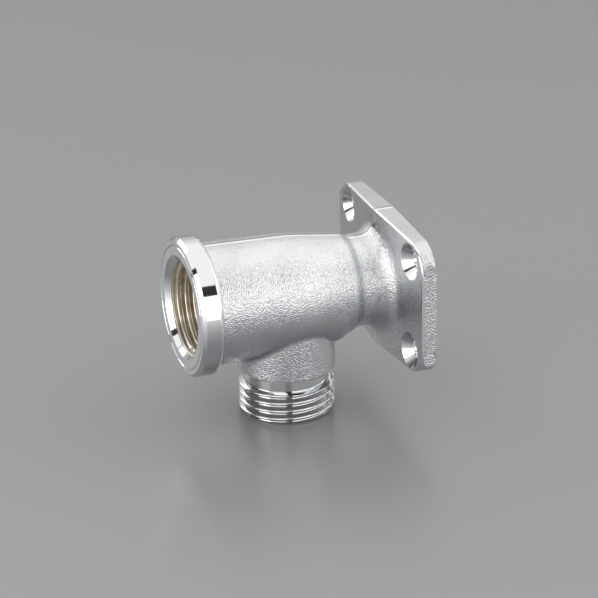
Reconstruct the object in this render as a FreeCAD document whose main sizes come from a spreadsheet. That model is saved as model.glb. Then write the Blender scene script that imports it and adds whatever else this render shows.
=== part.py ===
import FreeCAD, Part
import math
import os
import Sketcher

# Wall plate elbow for 1/2 inch water pipe, one chrome plated brass casting.
# The origin is the middle of the plate's back face, on the axis of the barrel. +Y points into the wall,
# +Z is up. The pipe socket opens towards -Y and the threaded spigot hangs down along -Z.
# Lengths are in millimetres, angles in degrees.

SIZES = {
    # wall plate
    "plate_width": 48.8,
    "plate_height": 31.5,
    "plate_thickness": 4.5,
    "plate_face_draft": 3.2,
    "plate_edge_draft": 2.6,
    "plate_corner_radius": 6.8,
    "plate_edge_round": 0.5,
    "parting_round": 10.0,
    # countersunk screw holes
    "screw_spacing_across": 36.0,
    "screw_spacing_up": 20.5,
    "screw_hole_width": 4.5,
    "countersink_width": 8.0,
    "countersink_angle": 90.0,
    # flat round ends left by the mould's ejector pins on the two short edges of the plate
    "ejector_width": 2.9,
    "ejector_spacing": 20.8,
    "ejector_setback": 1.55,
    "ejector_stand": 0.12,
    # neck, shoulder, tapering tail and barrel, one after another from the plate to the collar
    "flare_radius": 3.5,
    "neck_length": 6.1,
    "neck_radius": 10.1,
    "shoulder_length": 1.8,
    "shoulder_radius": 11.15,
    "shoulder_round": 2.5,
    "tail_length": 11.9,
    "waist_radius": 12.9,
    "waist_round": 50.0,
    "belly_drop": 1.1,
    "belly_radius": 11.6,
    "belly_setback": 4.6,
    "belly_round": 5.0,
    "belly_fall": 28.0,
    "belly_nose": 7.0,
    "barrel_length": 19.6,
    "barrel_radius": 13.5,
    # turned collar round the socket
    "collar_length": 4.9,
    "collar_step": 1.7,
    "collar_chamfer": 0.75,
    "collar_back_round": 1.0,
    "face_line_radius": 13.4,
    "face_line_width": 0.4,
    # socket and waterway: the socket wall is the crest of its female thread
    "socket_mouth_radius": 11.3,
    "socket_radius": 9.316,
    "socket_depth": 14.0,
    "waterway_radius": 7.6,
    "drill_point_angle": 118.0,
    # branch and threaded spigot: the spigot wall is the crest of its male thread
    "branch_lead": 0.9,
    "branch_radius": 10.7,
    "branch_drop": 17.2,
    "branch_root_fillet": 1.4,
    "branch_lip_round": 0.6,
    "relief_radius": 9.3,
    "relief_length": 2.1,
    "spigot_radius": 10.478,
    "spigot_length": 7.95,
    "spigot_chamfer": 1.1,
    "spigot_bore_radius": 7.4,
    "spigot_bore_chamfer": 0.4,
}

Y = FreeCAD.Vector(0, 1, 0)
Z = FreeCAD.Vector(0, 0, 1)

doc = FreeCAD.newDocument("wall_plate_elbow")
sheet = doc.addObject("Spreadsheet::Sheet", "dims")
for row, (name, value) in enumerate(SIZES.items(), start=1):
    sheet.set("A%d" % row, name)
    sheet.set("B%d" % row, "%g" % value)
    sheet.setAlias("B%d" % row, name)
doc.recompute()

body = doc.addObject("PartDesign::Body", "elbow_body")
body.Label = "elbow_body"


def sketch_on(role, name, across=None, up=None, out=None):
    """A sketch on one of the body's planes, shifted across, up or out of it by formulas of the sheet."""
    sketch = body.newObject("Sketcher::SketchObject", name)
    plane = next(f for f in body.Origin.OriginFeatures if f.Role == role)
    sketch.AttachmentSupport = [(plane, "")]
    sketch.MapMode = "FlatFace"
    for axis, formula in (("x", across), ("y", up), ("z", out)):
        if formula:
            sketch.setExpression("AttachmentOffset.Base." + axis, formula)
    return sketch


def tie(sketch, value, formula, *constraint):
    """Adds a sketch constraint whose value follows a formula of the sheet."""
    number = sketch.addConstraint(Sketcher.Constraint(*constraint, value))
    sketch.setExpression("Constraints[%d]" % number, formula)


def tie_point(sketch, geometry, point, formulas):
    """Ties a point of the sketch to its two distances from the sketch's origin."""
    here = sketch.getPoint(geometry, point)
    tie(sketch, here.x, formulas[0], "DistanceX", -1, 1, geometry, point)
    tie(sketch, here.y, formulas[1], "DistanceY", -1, 1, geometry, point)


def draw_outline(sketch, corners):
    """
    A closed outline. Each corner is a pair of formulas of the sheet, and a third entry names the size
    that rounds it. The corners are solved as points first, so that edges and arcs start where they end up.
    """
    count = len(corners)
    points = [sketch.addGeometry(Part.Point(FreeCAD.Vector(i, 0, 0)), True) for i in range(count)]
    for point, corner in zip(points, corners):
        tie_point(sketch, point, 1, corner[:2])
    doc.recompute()
    places = [sketch.getPoint(point, 1) for point in points]

    arrive, leave, arcs = list(places), list(places), {}
    for i, corner in enumerate(corners):
        if len(corner) == 3:
            radius = SIZES[corner[2]]
            back = (places[i - 1] - places[i]).normalize()
            ahead = (places[(i + 1) % count] - places[i]).normalize()
            half_angle = back.getAngle(ahead) / 2
            arrive[i] = places[i] + back * (radius / math.tan(half_angle))
            leave[i] = places[i] + ahead * (radius / math.tan(half_angle))
            middle = places[i] + (back + ahead).normalize() * (radius / math.sin(half_angle))
            turns_left = ahead.cross(back).z > 0
            start, end = (arrive[i], leave[i]) if turns_left else (leave[i], arrive[i])
            angles = [math.atan2(p.y - middle.y, p.x - middle.x) for p in (start, end)]
            arc = sketch.addGeometry(Part.ArcOfCircle(Part.Circle(middle, Z, radius), *angles), False)
            arcs[i] = (arc, 1 if turns_left else 2, 2 if turns_left else 1)

    edges = [sketch.addGeometry(Part.LineSegment(leave[i - 1], arrive[i]), False) for i in range(count)]
    for i, corner in enumerate(corners):
        into, out_of = edges[i], edges[(i + 1) % count]
        if i in arcs:
            arc, arc_start, arc_end = arcs[i]
            sketch.addConstraint(Sketcher.Constraint("Tangent", into, 2, arc, arc_start))
            sketch.addConstraint(Sketcher.Constraint("Tangent", arc, arc_end, out_of, 1))
            sketch.addConstraint(Sketcher.Constraint("PointOnObject", points[i], 1, into))
            sketch.addConstraint(Sketcher.Constraint("PointOnObject", points[i], 1, out_of))
            tie(sketch, SIZES[corner[2]], "dims." + corner[2], "Radius", arc)
        else:
            sketch.addConstraint(Sketcher.Constraint("Coincident", into, 2, points[i], 1))
            sketch.addConstraint(Sketcher.Constraint("Coincident", out_of, 1, points[i], 1))


def draw_circles(sketch, centres, radius):
    """Equal circles. Each centre is a pair of formulas of the sheet, and the radius is one."""
    for i, centre in enumerate(centres):
        circle = sketch.addGeometry(Part.Circle(FreeCAD.Vector(i, 0, 0), Z, 1.0), False)
        tie(sketch, 1.0, radius, "Radius", circle)
        tie_point(sketch, circle, 3, centre)


def add_feature(kind, name, profile=None, formulas=None, **settings):
    """A feature at the tip of the body, with plain settings and with sizes tied to the sheet."""
    feature = body.newObject("PartDesign::" + kind, name)
    if profile:
        feature.Profile = profile
    for setting, value in settings.items():
        setattr(feature, setting, value)
    for setting, formula in (formulas or {}).items():
        feature.setExpression(setting, formula)
    doc.recompute()
    return feature


def round_edges(name, test, radius):
    """Rounds each edge of the tip whose two faces pass a test, by a formula of the sheet."""
    shape = body.Tip.Shape
    edges = []
    for i, edge in enumerate(shape.Edges, start=1):
        beside = shape.ancestorsOfType(edge, Part.Face)
        if len(beside) == 2 and (test(*beside) or test(*reversed(beside))):
            edges.append("Edge%d" % i)
    add_feature("Fillet", name, Base=(body.Tip, edges), formulas={"Radius": radius})


def outward(face):
    """The direction that the middle of a face looks in."""
    u_low, u_high, v_low, v_high = face.ParameterRange
    return face.normalAt((u_low + u_high) / 2, (v_low + v_high) / 2)


def is_cylinder(face, axis, radius):
    surface = face.Surface
    return (isinstance(surface, Part.Cylinder)
            and abs(abs(surface.Axis.dot(axis)) - 1) < 1e-6
            and abs(surface.Radius - radius) < 1e-3)


# Wall plate: a rectangle whose long edges fall away from the parting line at x = 0.
plate_outline = sketch_on("XZ_Plane", "plate_outline")
side_height = "(dims.plate_height / 2 - dims.plate_width / 2 * tan(dims.plate_edge_draft))"
draw_outline(plate_outline, [
    ("dims.plate_width / 2", side_height, "plate_corner_radius"),
    ("0", "dims.plate_height / 2", "parting_round"),
    ("-dims.plate_width / 2", side_height, "plate_corner_radius"),
    ("-dims.plate_width / 2", "-" + side_height, "plate_corner_radius"),
    ("0", "-dims.plate_height / 2", "parting_round"),
    ("dims.plate_width / 2", "-" + side_height, "plate_corner_radius"),
])
add_feature("Pad", "plate_slab", plate_outline, {"Length": "dims.plate_thickness"})

# The face of the plate slopes back from the parting line too, so that the casting leaves both halves
# of the mould. What comes off in front of it reaches past the plate on every side.
plate_front = sketch_on("XY_Plane", "plate_front")
fallen_face = "(dims.plate_width * tan(dims.plate_face_draft) - dims.plate_thickness)"
draw_outline(plate_front, [
    ("0", "-dims.plate_thickness", "parting_round"),
    ("dims.plate_width", fallen_face),
    ("dims.plate_width", "-2 * dims.plate_thickness"),
    ("-dims.plate_width", "-2 * dims.plate_thickness"),
    ("-dims.plate_width", fallen_face),
])
add_feature("Pocket", "plate_draft", plate_front, {"Length": "2 * dims.plate_height"}, SideType="Symmetric")
round_edges("plate_front_edge", lambda one, other: outward(one).y < -0.9 and abs(outward(other).y) < 0.1,
            "dims.plate_edge_round")

# Ejector pin marks: two round bars through the plate's whole width, of which only the flat ends show,
# where the rounded corners fall away from them.
ejector_marks = sketch_on("YZ_Plane", "ejector_marks")
draw_circles(ejector_marks, [
    ("-dims.ejector_setback", "dims.ejector_spacing / 2"),
    ("-dims.ejector_setback", "-dims.ejector_spacing / 2"),
], "dims.ejector_width / 2")
add_feature("Pad", "ejector_ends", ejector_marks,
            {"Length": "dims.plate_width + 2 * dims.ejector_stand"}, SideType="Symmetric")

# Neck, barrel and collar, turned about the barrel's axis from one profile of (distance, radius).
shoulder_foot = "(-dims.plate_thickness - dims.neck_length)"
shoulder = "(" + shoulder_foot + " - dims.shoulder_length)"
waist = "(" + shoulder + " - dims.tail_length)"
collar_back = "(" + waist + " - dims.barrel_length)"
face = "(" + collar_back + " - dims.collar_length)"
collar_radius = "(dims.barrel_radius + dims.collar_step)"
barrel_profile = sketch_on("YZ_Plane", "barrel_profile")
draw_outline(barrel_profile, [
    ("-dims.plate_thickness / 2", "0"),
    ("-dims.plate_thickness / 2", "dims.neck_radius"),
    (shoulder_foot, "dims.neck_radius", "shoulder_round"),
    (shoulder, "dims.shoulder_radius", "shoulder_round"),
    (waist, "dims.waist_radius", "waist_round"),
    (collar_back, "dims.barrel_radius"),
    (collar_back, collar_radius, "collar_back_round"),
    (face + " + dims.collar_chamfer", collar_radius),
    (face, collar_radius + " - dims.collar_chamfer"),
    (face, "0"),
])
add_feature("Revolution", "barrel", barrel_profile, ReferenceAxis=(barrel_profile, ["H_Axis"]))

round_edges("flare", lambda one, other: is_cylinder(one, Y, SIZES["neck_radius"]) and outward(other).y < -0.9,
            "dims.flare_radius")

# Branch and spigot, turned about the branch's axis from one profile of (radius, height).
branch_axis = waist + " - dims.branch_lead"
branch_foot = "-dims.branch_drop"
relief_foot = "(-dims.branch_drop - dims.relief_length)"
spigot_end = "(" + relief_foot + " - dims.spigot_length)"
branch_profile = sketch_on("YZ_Plane", "branch_profile", across=branch_axis)
draw_outline(branch_profile, [
    ("0", "0"),
    ("dims.branch_radius", "0"),
    ("dims.branch_radius", branch_foot, "branch_lip_round"),
    ("dims.relief_radius", branch_foot),
    ("dims.relief_radius", relief_foot),
    ("dims.spigot_radius", relief_foot + " - (dims.spigot_radius - dims.relief_radius) / 2"),
    ("dims.spigot_radius", spigot_end + " + dims.spigot_chamfer"),
    ("dims.spigot_radius - dims.spigot_chamfer", spigot_end),
    ("0", spigot_end),
])
add_feature("Revolution", "branch", branch_profile, ReferenceAxis=(branch_profile, ["V_Axis"]))
round_edges("branch_root", lambda one, other: (is_cylinder(one, Z, SIZES["branch_radius"])
                                               and outward(other).z < 0 and other.BoundBox.ZMax > 0),
            "dims.branch_root_fillet")

# Belly: the underside keeps its width past the waterway's bend, so a second turned form of (distance,
# radius), on an axis a little under the barrel's, comes out of the tail below and dies into the neck.
belly_end = "(" + shoulder_foot + " - dims.belly_setback)"
belly_profile = sketch_on("YZ_Plane", "belly_profile", up="-dims.belly_drop")
draw_outline(belly_profile, [
    (branch_axis, "0"),
    (branch_axis, "dims.belly_radius"),
    (belly_end, "dims.belly_radius", "belly_round"),
    (belly_end + " + dims.belly_nose", "dims.belly_radius - dims.belly_nose * tan(dims.belly_fall)"),
    (belly_end + " + dims.belly_nose", "0"),
])
add_feature("Revolution", "belly", belly_profile, ReferenceAxis=(belly_profile, ["H_Axis"]))

# Socket and waterway, bored from the face: the mouth's chamfer, the threaded length, a 45 degree step
# down to the drilled waterway, and the drill's point, which starts where the spigot's bore has met it all.
socket_floor = "(" + face + " + dims.socket_depth)"
waterway_end = "(" + branch_axis + " + dims.spigot_bore_radius)"
socket_profile = sketch_on("YZ_Plane", "socket_profile")
draw_outline(socket_profile, [
    (face, "0"),
    (face, "dims.socket_mouth_radius"),
    (face + " + dims.socket_mouth_radius - dims.socket_radius", "dims.socket_radius"),
    (socket_floor, "dims.socket_radius"),
    (socket_floor + " + dims.socket_radius - dims.waterway_radius", "dims.waterway_radius"),
    (waterway_end, "dims.waterway_radius"),
    (waterway_end + " + dims.waterway_radius / tan(dims.drill_point_angle / 2)", "0"),
])
add_feature("Groove", "socket", socket_profile, ReferenceAxis=(socket_profile, ["H_Axis"]))

# Waterway of the spigot, bored up to the barrel's axis, with its mouth broken by a small chamfer.
spigot_bore = sketch_on("YZ_Plane", "spigot_bore", across=branch_axis)
draw_outline(spigot_bore, [
    ("0", "0"),
    ("dims.spigot_bore_radius", "0"),
    ("dims.spigot_bore_radius", spigot_end + " + dims.spigot_bore_chamfer"),
    ("dims.spigot_bore_radius + dims.spigot_bore_chamfer", spigot_end),
    ("0", spigot_end),
])
add_feature("Groove", "spigot_waterway", spigot_bore, ReferenceAxis=(spigot_bore, ["V_Axis"]))

# A fine line turned into the face round the socket, as a 45 degree groove.
face_line = sketch_on("YZ_Plane", "face_line_profile")
draw_outline(face_line, [
    (face, "dims.face_line_radius - dims.face_line_width / 2"),
    (face, "dims.face_line_radius + dims.face_line_width / 2"),
    (face + " + dims.face_line_width / 2", "dims.face_line_radius"),
])
add_feature("Groove", "face_line", face_line, ReferenceAxis=(face_line, ["H_Axis"]))

# Screw holes, drilled towards the wall from the level of the parting line. The countersink is
# widened there by as much as the plate's face falls back to the hole, so it has its width at the face.
face_fall = "dims.screw_spacing_across / 2 * tan(dims.plate_face_draft)"
screw_centres = sketch_on("XZ_Plane", "screw_centres", out="dims.plate_thickness")
draw_circles(screw_centres, [
    (across + "dims.screw_spacing_across / 2", up + "dims.screw_spacing_up / 2")
    for across in ("", "-") for up in ("", "-")
], "dims.screw_hole_width / 2")
doc.recompute()
add_feature("Hole", "screw_holes", screw_centres, {
    "Diameter": "dims.screw_hole_width",
    "HoleCutDiameter": "dims.countersink_width + 2 * " + face_fall + " * tan(dims.countersink_angle / 2)",
    "HoleCutCountersinkAngle": "dims.countersink_angle",
}, ThreadType="None", HoleCutType="Countersink", DepthType="ThroughAll")

for thing in doc.Objects:
    if "Invalid" in thing.State or "Error" in thing.State:
        raise RuntimeError("%s did not build: %s" % (thing.Name, thing.State))
if body.Shape.isNull() or not body.Shape.isValid() or len(body.Shape.Solids) != 1:
    raise RuntimeError("the elbow is not one valid solid")

os.makedirs("parts", exist_ok=True)
body.Shape.exportStep("parts/%s.step" % body.Label)
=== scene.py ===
import math

import bmesh
import bpy
import numpy as np
from mathutils import Matrix, Vector
from mathutils.kdtree import KDTree


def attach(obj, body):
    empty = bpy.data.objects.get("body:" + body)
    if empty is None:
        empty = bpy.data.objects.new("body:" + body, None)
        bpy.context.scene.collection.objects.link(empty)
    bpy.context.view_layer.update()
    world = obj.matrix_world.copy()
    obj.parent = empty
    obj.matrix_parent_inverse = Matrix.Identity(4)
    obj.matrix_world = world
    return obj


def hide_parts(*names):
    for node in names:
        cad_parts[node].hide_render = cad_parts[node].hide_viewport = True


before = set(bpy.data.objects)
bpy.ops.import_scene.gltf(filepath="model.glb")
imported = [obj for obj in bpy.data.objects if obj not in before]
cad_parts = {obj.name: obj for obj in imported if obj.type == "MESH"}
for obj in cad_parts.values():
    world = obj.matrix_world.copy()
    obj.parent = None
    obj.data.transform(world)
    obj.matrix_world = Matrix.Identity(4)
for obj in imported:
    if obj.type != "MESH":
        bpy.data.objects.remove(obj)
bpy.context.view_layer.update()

# Wall plate elbow of chromed brass: the threads are cut into a copy of the CAD model, each surface gets its
# finish, and the elbow stands on its spigot in a small photo studio.
# Sizes are in millimetres. MM turns them to Blender's metres.
MM = 0.001
scene = bpy.context.scene

# Places of the elbow, as in part.py: the barrel lies along Y, the branch and spigot hang along Z.
FACE_Y = -48.8
COLLAR_LAND_Y = -44.95
SOCKET_END_Y = -33.0
MOUTH_RADIUS = 11.3
MOUTH_CHAMFER_DEPTH = 2.0
WATERWAY_RADIUS = 7.6
WATERWAY_TIP_Y = -13.0
BRANCH_Y = -25.2
BRANCH_FOOT_Z = -17.2
RELIEF_FOOT_Z = -19.3
SPIGOT_END_Z = -27.25
BORE_RADIUS = 7.4
SCREW_X = 18.0
SCREW_Z = 10.25
COUNTERSINK_RADIUS = 4.0
PLATE_END_X = 24.4

# The half inch pipe thread: 55 degree flanks, crest and root rounded alike, the same form in and out.
PITCH = 1.814
THREAD_CREST_RADIUS = 10.4775
THREAD_DEPTH = 1.1613
THREAD_ROUND = 0.249
FLANK_ANGLE = math.radians(27.5)
ROUND_HALF_WIDTH = THREAD_ROUND * math.cos(FLANK_ANGLE)
SPIGOT_CREST_Z = -20.2
SPIGOT_THREAD_START_Z = -20.0
SPIGOT_LEAD_LENGTH = 0.05
SOCKET_CREST_Y = -46.8
SOCKET_THREAD_LENGTH = 12.0
SOCKET_RUNOUT = 1.4
# The socket's cutter ends this far inside the plain wall.
RUNOUT_INSIDE = 0.3
NUT_RADIUS = 12.5
# Keeps a cutter's surface just off the plain wall that it replaces.
CLEAR = 0.004
# How far a cutter runs past the metal that it cuts.
OVERRUN = 1.0
# Corners of the CAD mesh that lie this close are one, and a corner this close to one takes its normal.
WELD = 0.002
SAME_PLACE = 0.003
STEPS_ROUND = 192
STEPS_PER_PITCH = 24


# Threads

def thread_radius(along, turn, crest_at):
    """Radius of the thread at a distance along its axis and a part of a turn round it."""
    from_crest = np.abs(((along - crest_at) / PITCH - turn + 0.5) % 1.0 - 0.5) * PITCH
    from_root = PITCH / 2 - from_crest
    flank = THREAD_DEPTH / 2 + (PITCH / 4 - from_crest) / math.tan(FLANK_ANGLE)
    top = THREAD_DEPTH - THREAD_ROUND + np.sqrt(np.maximum(THREAD_ROUND ** 2 - from_crest ** 2, 0))
    bottom = THREAD_ROUND - np.sqrt(np.maximum(THREAD_ROUND ** 2 - from_root ** 2, 0))
    height = np.where(from_crest < ROUND_HALF_WIDTH, top,
                      np.where(from_root < ROUND_HALF_WIDTH, bottom, flank))
    return THREAD_CREST_RADIUS - THREAD_DEPTH + height


def rings_to_mesh(name, rings, place, joined):
    """
    A closed mesh through rings of (radius, distance) along an axis. Joined, the last ring goes on to the
    first one, and otherwise the two end rings are capped. place sets the mesh into the elbow.
    """
    angles = np.arange(STEPS_ROUND) * 2 * math.pi / STEPS_ROUND
    shape = bmesh.new()
    rows = []
    for radius, along in rings:
        radii = np.broadcast_to(radius, angles.shape)
        rows.append([shape.verts.new(place @ Vector((r * math.cos(a), r * math.sin(a), along)) * MM)
                     for r, a in zip(radii, angles)])
    if joined:
        rows.append(rows[0])
    for near, far in zip(rows, rows[1:]):
        for i in range(STEPS_ROUND):
            shape.faces.new((near[i - 1], near[i], far[i], far[i - 1]))
    if not joined:
        shape.faces.new(rows[0])
        shape.faces.new(rows[-1])
    bmesh.ops.recalc_face_normals(shape, faces=shape.faces)
    mesh = bpy.data.meshes.new(name)
    shape.to_mesh(mesh)
    shape.free()
    threaded = mesh.attributes.new("threaded", "FLOAT", "FACE")
    threaded.data.foreach_set("value", [1.0] * len(mesh.polygons))
    return bpy.data.objects.new(name, mesh)


def stations(start, stop):
    """Places along a thread, evenly spaced from start to stop."""
    return np.linspace(start, stop, round(abs(stop - start) / PITCH * STEPS_PER_PITCH) + 1)


turns = np.arange(STEPS_ROUND) / STEPS_ROUND

# The spigot's cutter is a nut in the air round it, from below its end up into the relief. The thread starts
# at a flat step that looks up into the relief.
above = RELIEF_FOOT_Z + OVERRUN
below = SPIGOT_END_Z - OVERRUN
rings = []
for z in stations(below, above):
    lead = THREAD_CREST_RADIUS + ((SPIGOT_THREAD_START_Z - z) / SPIGOT_LEAD_LENGTH - 1) * THREAD_DEPTH
    lead = max(lead, THREAD_CREST_RADIUS - THREAD_DEPTH)
    rings.append((np.minimum(thread_radius(z, turns, SPIGOT_CREST_Z), lead) - CLEAR, z))
rings += [(NUT_RADIUS, above), (NUT_RADIUS, below)]
spigot_cutter = rings_to_mesh("spigot_cutter", rings, Matrix.Translation((0, BRANCH_Y, 0)), joined=True)

# The socket's cutter is a tap in its bore, from in front of the face to where the thread runs out.
thread_end = FACE_Y + SOCKET_THREAD_LENGTH
rings = []
for y in stations(FACE_Y - OVERRUN, thread_end + SOCKET_RUNOUT):
    runout = THREAD_CREST_RADIUS - max(y - thread_end, 0) / SOCKET_RUNOUT * (THREAD_DEPTH + RUNOUT_INSIDE)
    rings.append((np.minimum(thread_radius(y, turns, SOCKET_CREST_Y) + CLEAR, runout), y))
along_barrel = Matrix(((0, 1, 0), (0, 0, 1), (1, 0, 0))).to_4x4()
socket_cutter = rings_to_mesh("socket_cutter", rings, along_barrel, joined=False)

cad_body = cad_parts["elbow_body"]
elbow_mesh = cad_body.data.copy()
shape = bmesh.new()
shape.from_mesh(elbow_mesh)
bmesh.ops.transform(shape, matrix=cad_body.matrix_world, verts=shape.verts)
bmesh.ops.remove_doubles(shape, verts=shape.verts, dist=WELD * MM)
shape.to_mesh(elbow_mesh)
shape.free()
elbow = bpy.data.objects.new("chromed_elbow", elbow_mesh)
scene.collection.objects.link(elbow)
for cutter in (spigot_cutter, socket_cutter):
    scene.collection.objects.link(cutter)
    cut = elbow.modifiers.new(cutter.name, "BOOLEAN")
    cut.operation = "DIFFERENCE"
    cut.solver = "MANIFOLD"
    cut.object = cutter
result = bpy.data.meshes.new_from_object(elbow.evaluated_get(bpy.context.evaluated_depsgraph_get()))
elbow.modifiers.clear()
elbow.data = result
for cutter in (spigot_cutter, socket_cutter):
    bpy.data.objects.remove(cutter)


# Finishes

def linear(hex_colour):
    """An sRGB hex colour as Blender's linear RGBA."""
    values = [int(hex_colour[i:i + 2], 16) / 255 for i in (1, 3, 5)]
    return [v / 12.92 if v <= 0.04045 else ((v + 0.055) / 1.055) ** 2.4 for v in values] + [1.0]


def add(tree, kind, inputs=None, **settings):
    """Adds a node. Each input is a value or the output that feeds it."""
    made = tree.nodes.new("ShaderNode" + kind)
    for name, value in settings.items():
        setattr(made, name, value)
    for name, value in (inputs or {}).items():
        if isinstance(value, bpy.types.NodeSocket):
            tree.links.new(value, made.inputs[name])
        else:
            made.inputs[name].default_value = value
    return made


def new_metal(name, roughness):
    """A metal material: its tree and its shader, which keeps the default IOR."""
    material = bpy.data.materials.new(name)
    material.use_nodes = True
    tree = material.node_tree
    tree.nodes.clear()
    shader = add(tree, "BsdfPrincipled", {"Metallic": 1.0, "Roughness": roughness})
    add(tree, "OutputMaterial", {"Surface": shader.outputs["BSDF"]})
    return material, tree, shader


def per_mm(size):
    """The scale of a texture whose pattern repeats about every size millimetres."""
    return 1 / (size * MM)


def mottled(tree, place, patch, detail, dark, light):
    """A colour that varies softly from dark to light, in patches of about that many millimetres."""
    noise = add(tree, "TexNoise", {"Vector": place, "Scale": per_mm(patch), "Detail": detail})
    tones = add(tree, "ValToRGB", {"Fac": noise.outputs["Fac"]})
    for stop, position, colour in zip(tones.color_ramp.elements, (0.35, 0.65), (dark, light)):
        stop.position = position
        stop.color = linear(colour)
    return tones.outputs["Color"]


# Satin chrome over a shot blasted brass casting: the plate follows the blasted grain, so a highlight spreads
# and breaks up into fine specks where it ends. Tumbling has worn the grain off the rounded edges, and
# linishing off the ridge that the mould's parting line leaves, so both catch the light as bright lines. The
# real grain, about a tenth of a millimetre, is too fine to show, so it is drawn as coarse as it needs to
# show. All sizes are in millimetres.
CAST_ROUGHNESS = 0.18
WORN_ROUGHNESS = 0.12
CLOUDS = 9.0
GRAIN = 0.30
GRAIN_DEPTH = 0.17
WORN_GRAIN_DEPTH = 0.01
DENTS = 1.8
DENT_DEPTH = 0.04
RIDGE_FOOT = 0.75
RIDGE_CREST = 0.12
RIDGE_HEIGHT = 0.12
# The ridge fades out between these, just in front of the plate's back.
RIDGE_NONE_Y = -0.1
RIDGE_FULL_Y = -0.5
EJECTOR_Y = -1.55
EJECTOR_Z = 10.4
EJECTOR_RADIUS = 1.45
EJECTOR_LINE = 0.16
EJECTOR_LINE_DEPTH = 0.08
# The plate's end faces begin between these.
PLATE_END_FOOT_X = PLATE_END_X - 0.8
PLATE_END_TOP_X = PLATE_END_X - 0.4


def rise(tree, value, foot, top):
    """A smooth step of a value in millimetres, from 0 at the foot to 1 at the top."""
    return add(tree, "MapRange", {"Value": value, "From Min": foot * MM, "From Max": top * MM},
               interpolation_type="SMOOTHSTEP").outputs["Result"]


cast_chrome, tree, shader = new_metal("satin_chrome_on_blasted_brass", CAST_ROUGHNESS)
place = add(tree, "TexCoord").outputs["Object"]
tint = mottled(tree, place, CLOUDS, 3.0, "#CDCED0", "#D7D8D9")
axes = add(tree, "SeparateXYZ", {"Vector": place}).outputs
from_parting = add(tree, "Math", {0: axes["X"]}, operation="ABSOLUTE").outputs[0]
off_back = rise(tree, axes["Y"], RIDGE_NONE_Y, RIDGE_FULL_Y)
on_ridge = add(tree, "Math", {0: rise(tree, from_parting, RIDGE_FOOT, RIDGE_CREST), 1: off_back},
               operation="MULTIPLY").outputs[0]
worn_edge = add(tree, "Attribute", attribute_name="worn_edge").outputs["Fac"]
worn = add(tree, "Math", {0: worn_edge, 1: on_ridge}, operation="MAXIMUM").outputs[0]
grain_depth = add(tree, "MapRange", {"Value": worn, "To Min": GRAIN_DEPTH * MM,
                                     "To Max": WORN_GRAIN_DEPTH * MM})
roughness = add(tree, "MapRange", {"Value": worn, "To Min": CAST_ROUGHNESS, "To Max": WORN_ROUGHNESS})
grain = add(tree, "TexNoise", {"Vector": place, "Scale": per_mm(GRAIN), "Detail": 1.0, "Roughness": 0.3})
dents = add(tree, "TexNoise", {"Vector": place, "Scale": per_mm(DENTS), "Detail": 1.0})

# The ejector pins' round ends have a fine line round them.
up_to_ejector = add(tree, "Math", {0: axes["Z"]}, operation="ABSOLUTE").outputs[0]
ejector_z = add(tree, "Math", {0: up_to_ejector, 1: EJECTOR_Z * MM}, operation="SUBTRACT").outputs[0]
ejector_y = add(tree, "Math", {0: axes["Y"], 1: EJECTOR_Y * MM}, operation="SUBTRACT").outputs[0]
across_ejector = add(tree, "CombineXYZ", {"X": ejector_y, "Y": ejector_z}).outputs["Vector"]
from_ejector = add(tree, "VectorMath", {0: across_ejector}, operation="LENGTH").outputs["Value"]
off_line = add(tree, "Math", {0: from_ejector, 1: EJECTOR_RADIUS * MM}, operation="SUBTRACT").outputs[0]
off_line = add(tree, "Math", {0: off_line}, operation="ABSOLUTE").outputs[0]
at_plate_end = rise(tree, from_parting, PLATE_END_FOOT_X, PLATE_END_TOP_X)
beside_line = rise(tree, off_line, 0.0, EJECTOR_LINE)
ejector_line = add(tree, "Math", {0: at_plate_end, 1: beside_line}, operation="MULTIPLY").outputs[0]

# Grain, dents, ridge and ejector lines lie one upon the other.
surface = None
for height, depth in ((grain.outputs["Fac"], grain_depth.outputs["Result"]),
                      (dents.outputs["Fac"], DENT_DEPTH * MM),
                      (on_ridge, RIDGE_HEIGHT * MM),
                      (ejector_line, EJECTOR_LINE_DEPTH * MM)):
    inputs = {"Height": height, "Distance": depth, "Strength": 1.0}
    if surface:
        inputs["Normal"] = surface
    surface = add(tree, "Bump", inputs).outputs["Normal"]
colour = add(tree, "Mix", {"Factor": worn, "A": tint, "B": linear("#E9E9E8")}, data_type="RGBA")
tree.links.new(colour.outputs["Result"], shader.inputs["Base Color"])
tree.links.new(roughness.outputs["Result"], shader.inputs["Roughness"])
tree.links.new(surface, shader.inputs["Normal"])


MARK_DEPTH = 0.003


def turned_chrome(name, roughness, mark_spacing, radius_of):
    """
    Bright chrome over turned brass: mirror-like, with the faint rings that the tool leaves, as many
    millimetres apart as mark_spacing. radius_of gives the vector from the axis that the surface was
    turned about, and the distance along it.
    """
    material, tree, shader = new_metal(name, roughness)
    shader.inputs["Base Color"].default_value = linear("#D2D3D4")
    place = add(tree, "TexCoord").outputs["Object"]
    axes = add(tree, "SeparateXYZ", {"Vector": place}).outputs
    flat, along = radius_of(tree, axes)
    radius = add(tree, "VectorMath", {0: flat}, operation="LENGTH").outputs["Value"]
    track = add(tree, "CombineXYZ", {"X": radius, "Y": along}).outputs["Vector"]
    marks = add(tree, "TexNoise", {"Vector": track, "Scale": per_mm(mark_spacing), "Detail": 2.0},
                noise_dimensions="2D")
    bump = add(tree, "Bump", {"Height": marks.outputs["Fac"], "Strength": 1.0, "Distance": MARK_DEPTH * MM})
    tree.links.new(bump.outputs["Normal"], shader.inputs["Normal"])
    return material


def round_barrel(tree, axes):
    return add(tree, "CombineXYZ", {"X": axes["X"], "Y": axes["Z"]}).outputs["Vector"], axes["Y"]


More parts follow.
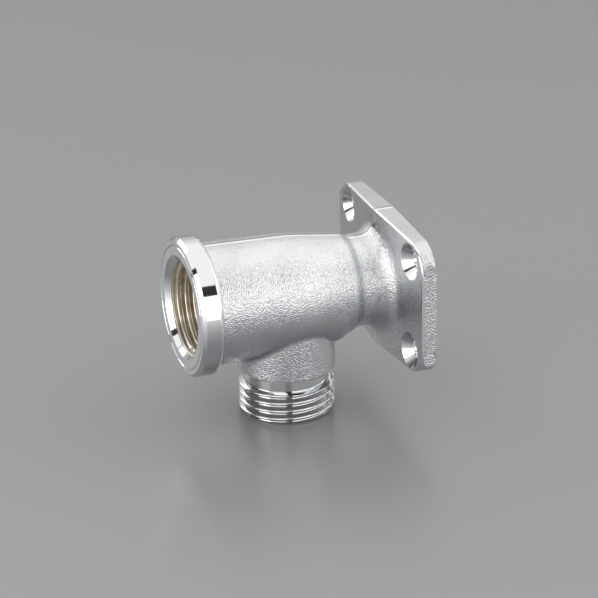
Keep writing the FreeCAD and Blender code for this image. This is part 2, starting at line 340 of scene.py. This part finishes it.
def round_branch(tree, axes):
    from_axis = add(tree, "Math", {0: axes["Y"], 1: -BRANCH_Y * MM}, operation="ADD").outputs[0]
    return add(tree, "CombineXYZ", {"X": axes["X"], "Y": from_axis}).outputs["Vector"], axes["Z"]


def round_screw_hole(tree, axes):
    sides = [add(tree, "Math", {0: axes[axis]}, operation="ABSOLUTE").outputs[0] for axis in ("X", "Z")]
    offsets = [add(tree, "Math", {0: side, 1: centre * MM}, operation="SUBTRACT").outputs[0]
               for side, centre in zip(sides, (SCREW_X, SCREW_Z))]
    return add(tree, "CombineXYZ", {"X": offsets[0], "Y": offsets[1]}).outputs["Vector"], axes["Y"]


collar_chrome = turned_chrome("bright_chrome_on_turned_collar", 0.06, 0.3, round_barrel)
spigot_chrome = turned_chrome("bright_chrome_on_turned_spigot", 0.09, 0.3, round_branch)
countersink_chrome = turned_chrome("bright_chrome_on_countersinks", 0.12, 0.25, round_screw_hole)

# Brass inside the socket and the bores, where the bath leaves only a thin and dull plate: the warm metal
# shows through, uneven along the thread.
STAINS = 2.5
INSIDE_GRAIN = 0.3
INSIDE_GRAIN_DEPTH = 0.012
inside_brass, tree, shader = new_metal("thinly_plated_brass_inside", 0.3)
place = add(tree, "TexCoord").outputs["Object"]
tint = mottled(tree, place, STAINS, 4.0, "#D8CDBA", "#F0EADF")
grain = add(tree, "TexNoise", {"Vector": place, "Scale": per_mm(INSIDE_GRAIN), "Detail": 2.0})
bump = add(tree, "Bump", {"Height": grain.outputs["Fac"], "Strength": 1.0,
                          "Distance": INSIDE_GRAIN_DEPTH * MM})
tree.links.new(tint, shader.inputs["Base Color"])
tree.links.new(bump.outputs["Normal"], shader.inputs["Normal"])

# Each face takes its finish from where it lies: no farther than NEAR, in millimetres, past a surface. The
# whole plate lies behind BEFORE_PLATE_Y.
NEAR = 0.05
SLOPE_NEAR = 0.06
BEFORE_PLATE_Y = -6.0
finishes = [cast_chrome, collar_chrome, spigot_chrome, countersink_chrome, inside_brass]
elbow.data.materials.clear()
for finish in finishes:
    elbow.data.materials.append(finish)
centres = np.empty(len(elbow.data.polygons) * 3)
elbow.data.polygons.foreach_get("center", centres)
x, y, z = centres.reshape(-1, 3).T / MM
facings = np.empty(len(elbow.data.polygons) * 3)
elbow.data.polygons.foreach_get("normal", facings)
facing_x, facing_y, facing_z = facings.reshape(-1, 3).T
from_barrel = np.hypot(x, z)
from_branch = np.hypot(x, y - BRANCH_Y)
from_screw = np.hypot(np.abs(x) - SCREW_X, np.abs(z) - SCREW_Z)
collar = y < COLLAR_LAND_Y
depth = y - FACE_Y
facing_out = (facing_x * x + facing_z * z) / np.maximum(from_barrel, NEAR)
on_chamfer = (depth < MOUTH_CHAMFER_DEPTH) & (np.abs(from_barrel + depth - MOUTH_RADIUS) < 3 * NEAR)
slopes = np.stack((facing_y, facing_out)) + math.sqrt(0.5)
mouth = on_chamfer & (np.abs(slopes) < SLOPE_NEAR).all(axis=0)
outside = from_barrel > MOUTH_RADIUS
spigot = z < BRANCH_FOOT_Z - NEAR
socket = (from_barrel < THREAD_CREST_RADIUS + NEAR) & (y < SOCKET_END_Y) & ~mouth
waterway = (from_barrel < WATERWAY_RADIUS + NEAR) & (y < WATERWAY_TIP_Y)
spigot_bore = (from_branch < BORE_RADIUS + NEAR) & (z < 0)
which = np.zeros(len(x), dtype=np.int32)
which[collar & (outside | mouth)] = finishes.index(collar_chrome)
which[spigot] = finishes.index(spigot_chrome)
which[(from_screw < COUNTERSINK_RADIUS + NEAR) & (y > BEFORE_PLATE_Y)] = finishes.index(countersink_chrome)
which[socket | waterway | spigot_bore] = finishes.index(inside_brass)
elbow.data.polygons.foreach_set("material_index", which)

# The threads are new and are smoothed by themselves. Everywhere else the elbow keeps the CAD model's own
# normals, which are exact: each corner takes the one of the CAD corner at its place that agrees best with
# its face. Where a thread has cut a turned face, the new corner's normal is turned about the same axis.
SHARP_ANGLE = math.radians(28)
LEAST_AGREEMENT = math.cos(math.radians(35))
BARREL_AXIS = Vector((0, 1, 0))
BRANCH_AXIS = Vector((0, 0, 1))
# Closer than this to the axis, in millimetres, a turned face has its plain normal.
AT_AXIS = 0.5
elbow.data.set_sharp_from_angle(angle=SHARP_ANGLE)
threaded = np.empty(len(elbow.data.polygons))
elbow.data.attributes["threaded"].data.foreach_get("value", threaded)
shape = bmesh.new()
shape.from_mesh(elbow.data)
for edge in shape.edges:
    if len({threaded[face.index] > 0.5 for face in edge.link_faces}) > 1:
        edge.smooth = False
shape.to_mesh(elbow.data)
shape.free()
cad_mesh = cad_body.data
cad_places = KDTree(len(cad_mesh.vertices))
for vertex in cad_mesh.vertices:
    cad_places.insert(cad_body.matrix_world @ vertex.co, vertex.index)
cad_places.balance()
cad_normals = [[] for vertex in cad_mesh.vertices]
for corner, normal in zip(cad_mesh.loops, cad_mesh.corner_normals):
    cad_normals[corner.vertex_index].append(normal.vector.copy())
at_vertex = [[normal for place, index, away in cad_places.find_range(vertex.co, SAME_PLACE * MM)
              for normal in cad_normals[index]]
             for vertex in elbow.data.vertices]


def turned_normal(polygon, place):
    """The normal of a turned face at a place on it, which leans along its axis as the face does."""
    on_branch = polygon.center.z < BRANCH_FOOT_Z * MM
    axis = BRANCH_AXIS if on_branch else BARREL_AXIS
    centre = Vector((0, BRANCH_Y * MM, 0)) if on_branch else Vector((0, 0, 0))
    outward = (place - centre) - axis * (place - centre).dot(axis)
    if outward.length < AT_AXIS * MM:
        return polygon.normal.copy()
    lean = polygon.normal.dot(axis)
    side = math.copysign(math.sqrt(max(1 - lean * lean, 0)), polygon.normal.dot(outward))
    return outward.normalized() * side + axis * lean


corner_normals = []
for polygon in elbow.data.polygons:
    for vertex in polygon.vertices:
        best = max(at_vertex[vertex], key=polygon.normal.dot, default=None)
        if threaded[polygon.index] > 0.5:
            corner_normals.append((0, 0, 0))
        elif best is not None and polygon.normal.dot(best) > LEAST_AGREEMENT:
            corner_normals.append(best)
        else:
            corner_normals.append(turned_normal(polygon, elbow.data.vertices[vertex].co))
elbow.data.normals_split_custom_set(corner_normals)

# Rounded edges are marked as worn: there the normals spread apart along a face, as on a small ball.
WORN_ROUND = 1.3


def sharpest_round(polygon):
    """The sharpest outward round along a face's edges, as one over its radius in metres."""
    corners = [(elbow.data.vertices[elbow.data.loops[i].vertex_index].co, elbow.data.corner_normals[i].vector)
               for i in polygon.loop_indices]
    sharpest = 0.0
    for (place, normal), (next_place, next_normal) in zip(corners, corners[1:] + corners[:1]):
        step = next_place - place
        sharpest = max(sharpest, step.dot(next_normal - normal) / max(step.length_squared, 1e-12))
    return sharpest


worn_edge = elbow.data.attributes.new("worn_edge", "FLOAT", "FACE")
worn_edge.data.foreach_set("value", [float(sharpest_round(polygon) > 1 / (WORN_ROUND * MM))
                                     for polygon in elbow.data.polygons])

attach(elbow, "root")
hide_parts("elbow_body")


# Studio

def facing(azimuth, elevation):
    """The direction from the elbow: azimuth 0 is the socket's side, 90 is +X, and elevation is upwards."""
    azimuth, elevation = math.radians(azimuth), math.radians(elevation)
    return Vector((math.sin(azimuth) * math.cos(elevation), -math.cos(azimuth) * math.cos(elevation),
                   math.sin(elevation)))


def softbox(name, centre, aim, across, up, brightness):
    """A rectangular softbox, in metres, that looks at a point. Its brightness is that of its cloth."""
    lamp = bpy.data.lights.new(name, "AREA")
    lamp.shape = "RECTANGLE"
    lamp.size = across
    lamp.size_y = up
    lamp.energy = brightness * math.pi * across * up
    holder = bpy.data.objects.new(name, lamp)
    holder.location = centre
    holder.rotation_euler = (aim - centre).to_track_quat("-Z", "Y").to_euler()
    holder.visible_camera = False
    scene.collection.objects.link(holder)
    return holder


# Pale grey lacquered table, smooth enough to mirror the lamps softly where it is seen at a slant.
table_material = bpy.data.materials.new("pale_grey_lacquered_table")
table_material.use_nodes = True
table_tree = table_material.node_tree
table_shader = table_tree.nodes["Principled BSDF"]
table_shader.inputs["Base Color"].default_value = linear("#828385")
table_shader.inputs["Roughness"].default_value = 0.28
table_mesh = bpy.data.meshes.new("table")
HALF_TABLE = 3.0
table_mesh.from_pydata([(sx * HALF_TABLE, sy * HALF_TABLE, SPIGOT_END_Z * MM)
                        for sx, sy in ((-1, -1), (1, -1), (1, 1), (-1, 1))], [], [(0, 1, 2, 3)])
table_mesh.materials.append(table_material)
table = bpy.data.objects.new("table", table_mesh)
scene.collection.objects.link(table)

# A long softbox overhead, whose near edge runs across the camera's side. Between it and the ones that stand
# round the elbow, the dark room shows as a narrow band.
OVERHEAD_AZIMUTH = 57
OVERHEAD_HEIGHT = 0.6
OVERHEAD_NEAR = 0.30
OVERHEAD_FAR = 0.62
OVERHEAD_LENGTH = 2.4
OVERHEAD_BRIGHTNESS = 1.30
overhead_depth = OVERHEAD_NEAR + OVERHEAD_FAR
overhead_middle = facing(OVERHEAD_AZIMUTH, 0) * (OVERHEAD_NEAR - overhead_depth / 2)
overhead_middle.z = OVERHEAD_HEIGHT
overhead = softbox("overhead_softbox", overhead_middle, Vector((0, 0, 0)), OVERHEAD_LENGTH, overhead_depth,
                   OVERHEAD_BRIGHTNESS)
overhead.rotation_euler = (0, 0, math.radians(OVERHEAD_AZIMUTH))

# Softboxes that stand round the elbow: azimuth in degrees, then distance, lowest and highest edge above the
# elbow's origin, and width in metres, and brightness.
for name, azimuth, distance, bottom, top, width, brightness in (
        ("left_softbox", 33, 0.36, -0.025, 0.240, 0.43, 1.42),
        ("left_strip", 8, 0.34, -0.025, 0.185, 0.18, 2.1),
        ("right_softbox", 102, 0.35, -0.025, 0.240, 0.29, 1.8),
        ("front_softbox", 48, 0.40, 0.260, 0.560, 0.30, 2.3),
        ("back_left_softbox", -58, 0.45, 0.100, 0.270, 0.24, 2.0),
        ("back_right_softbox", 158, 0.45, 0.000, 0.280, 0.54, 1.6)):
    middle = Vector((0, 0, (bottom + top) / 2))
    softbox(name, facing(azimuth, 0) * distance + middle, middle, width, top - bottom, brightness)

# A glowing screen behind the elbow, a lamp in place of a white paper screen: its glow is painted brighter
# towards the overhead softbox, as the light that would fall on the paper.
SCREEN_FOOT_BRIGHTNESS = 0.36
SCREEN_TOP_BRIGHTNESS = 1.4
screen_material = bpy.data.materials.new("screen_glowing_with_painted_light")
screen_material.use_nodes = True
screen_tree = screen_material.node_tree
screen_tree.nodes.clear()
across_screen = add(screen_tree, "TexCoord").outputs["Generated"]
up_screen = add(screen_tree, "SeparateXYZ", {"Vector": across_screen}).outputs["Z"]
# Painted light: the glow ramps from the foot to the top of the screen.
brightness = add(screen_tree, "MapRange", {"Value": up_screen, "To Min": SCREEN_FOOT_BRIGHTNESS,
                                           "To Max": SCREEN_TOP_BRIGHTNESS})
glow = add(screen_tree, "Emission", {"Color": linear("#FFFFFF"), "Strength": brightness.outputs["Result"]})
add(screen_tree, "OutputMaterial", {"Surface": glow.outputs["Emission"]})
screen_mesh = bpy.data.meshes.new("paper_screen")
screen_middle = facing(OVERHEAD_AZIMUTH + 180, 0) * OVERHEAD_FAR
screen_side = facing(OVERHEAD_AZIMUTH + 90, 0) * OVERHEAD_LENGTH / 2
screen_corners = [screen_middle + screen_side * side + Vector((0, 0, height))
                  for side, height in ((-1, SPIGOT_END_Z * MM), (1, SPIGOT_END_Z * MM),
                                       (1, OVERHEAD_HEIGHT), (-1, OVERHEAD_HEIGHT))]
screen_mesh.from_pydata(screen_corners, [], [(0, 1, 2, 3)])
screen_mesh.materials.append(screen_material)
screen = bpy.data.objects.new("paper_screen", screen_mesh)
screen.visible_camera = False
scene.collection.objects.link(screen)

world = bpy.data.worlds.new("studio_room")
scene.world = world
world.use_nodes = True
world_tree = world.node_tree
world_tree.nodes.clear()
room = add(world_tree, "Background", {"Color": linear("#C9CACC"), "Strength": 0.08})
add(world_tree, "OutputWorld", {"Surface": room.outputs["Background"]})

# The camera stands where the photograph's did: a long lens from a little above, at the socket's right.
# Angles are in degrees and lengths in millimetres, and the aside shifts the view across and up.
CAMERA_AZIMUTH = 69.935
CAMERA_ELEVATION = 23.426
CAMERA_ROLL = -0.945
CAMERA_DISTANCE = 719.9
CAMERA_AIM = Vector((0, -28, -3))
CAMERA_ASIDE = (5.640, 1.445)
FOCAL_PIXELS = 3341.85
IMAGE_PIXELS = 598
back = facing(CAMERA_AZIMUTH, CAMERA_ELEVATION)
level = Vector((0, 0, 1)).cross(back).normalized()
right_way = Matrix.Rotation(math.radians(-CAMERA_ROLL), 3, -back) @ level
up_way = back.cross(right_way)
camera_data = bpy.data.cameras.new("camera")
camera_data.sensor_width = 36.0
camera_data.lens = FOCAL_PIXELS / IMAGE_PIXELS * camera_data.sensor_width
camera_data.clip_start = 0.05
camera_data.clip_end = 20.0
camera = bpy.data.objects.new("camera", camera_data)
where = CAMERA_AIM + right_way * CAMERA_ASIDE[0] + up_way * CAMERA_ASIDE[1] + back * CAMERA_DISTANCE
turned = Matrix((right_way, up_way, back)).transposed()
camera.matrix_world = Matrix.Translation(where * MM) @ turned.to_4x4()
scene.collection.objects.link(camera)
scene.camera = camera

scene.view_settings.view_transform = "Standard"

bpy.context.view_layer.update()
